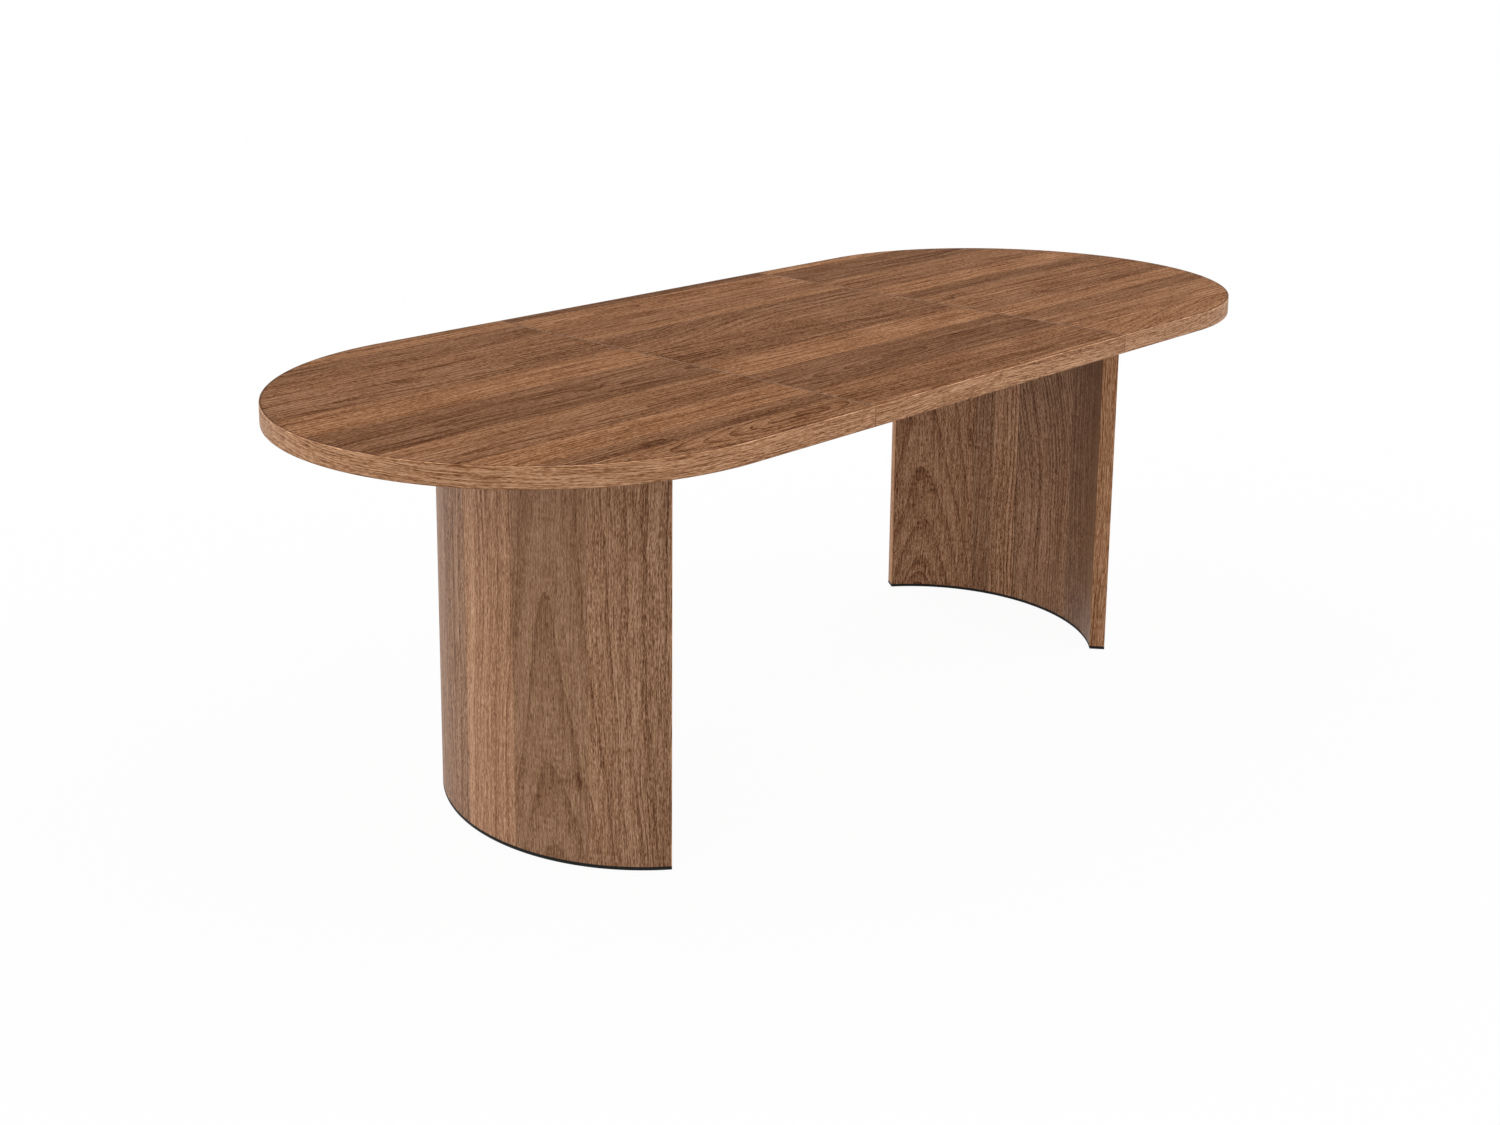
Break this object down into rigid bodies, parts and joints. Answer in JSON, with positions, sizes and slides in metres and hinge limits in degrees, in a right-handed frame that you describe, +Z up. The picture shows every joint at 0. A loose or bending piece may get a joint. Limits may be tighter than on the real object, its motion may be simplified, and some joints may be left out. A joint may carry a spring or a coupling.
{
  "type": "dining table",
  "caption": "Extending dining table with a pill-shaped walnut top, a lift-out leaf, sliding half-round ends and curved panel legs.",
  "frame": {"origin": "centre of the table's footprint, on the floor", "axes": "+X along the table to its right end, +Y to its back, +Z up"},
  "size_m": [2.25, 0.93, 0.757],
  "materials": {
    "walnut_top": "satin walnut with planks along the table",
    "walnut_strip": "satin walnut edge strip, grain along the strip",
    "walnut_leg": "satin walnut with upright grain",
    "black_foot": "matte black",
    "rail_aluminium": "anodised",
    "black_steel": "black powder coat",
    "nylon": "moulded black nylon",
    "zinc_steel": "zinc plate",
    "beech_peg": "turned beech"
  },
  "bodies": {
    "centre_frame": {"back_centre_rail": "rail_aluminium", "back_left_stop": "nylon", "back_right_stop": "nylon", "back_tie_screw": "zinc_steel", "cross_tie": "black_steel", "front_centre_rail": "rail_aluminium", "front_left_stop": "nylon", "front_right_stop": "nylon", "front_tie_screw": "zinc_steel"},
    "left_end": {"left_back_end_rail": "black_steel", "left_back_glide": "nylon", "left_back_rail_screw_1": "zinc_steel", "left_back_rail_screw_2": "zinc_steel", "left_end_strip": "walnut_strip", "left_end_top": "walnut_top", "left_foot_strip": "black_foot", "left_front_end_rail": "black_steel", "left_front_glide": "nylon", "left_front_rail_screw_1": "zinc_steel", "left_front_rail_screw_2": "zinc_steel", "left_leg_angle": "black_steel", "left_leg_back_strip": "walnut_strip", "left_leg_bolt_1": "zinc_steel", "left_leg_bolt_2": "zinc_steel", "left_leg_front_strip": "walnut_strip", "left_leg_panel": "walnut_leg", "left_seam_strip": "walnut_strip", "left_top_bolt_1": "zinc_steel", "left_top_bolt_2": "zinc_steel", "left_top_bolt_3": "zinc_steel"},
    "right_end": {"right_back_end_rail": "black_steel", "right_back_glide": "nylon", "right_back_rail_screw_1": "zinc_steel", "right_back_rail_screw_2": "zinc_steel", "right_end_strip": "walnut_strip", "right_end_top": "walnut_top", "right_foot_strip": "black_foot", "right_front_end_rail": "black_steel", "right_front_glide": "nylon", "right_front_rail_screw_1": "zinc_steel", "right_front_rail_screw_2": "zinc_steel", "right_leg_angle": "black_steel", "right_leg_back_strip": "walnut_strip", "right_leg_bolt_1": "zinc_steel", "right_leg_bolt_2": "zinc_steel", "right_leg_front_strip": "walnut_strip", "right_leg_panel": "walnut_leg", "right_seam_strip": "walnut_strip", "right_top_bolt_1": "zinc_steel", "right_top_bolt_2": "zinc_steel", "right_top_bolt_3": "zinc_steel"},
    "leaf": {"leaf_back_strip": "walnut_strip", "leaf_front_strip": "walnut_strip", "leaf_left_strip": "walnut_strip", "leaf_peg_1": "beech_peg", "leaf_peg_2": "beech_peg", "leaf_peg_3": "beech_peg", "leaf_peg_4": "beech_peg", "leaf_right_strip": "walnut_strip", "leaf_top": "walnut_top"}
  },
  "joints": [
    {"name": "left_end_slide", "type": "slide", "parent": "centre_frame", "child": "left_end", "axis": [-1, 0, 0], "range_m": [0, 0.05]},
    {"name": "right_end_slide", "type": "slide", "parent": "centre_frame", "child": "right_end", "axis": [1, 0, 0], "range_m": [0, 0.05]},
    {"name": "leaf_lift", "type": "slide", "parent": "centre_frame", "child": "leaf", "axis": [0, 0, 1], "range_m": [0, 0.15]}
  ]
}
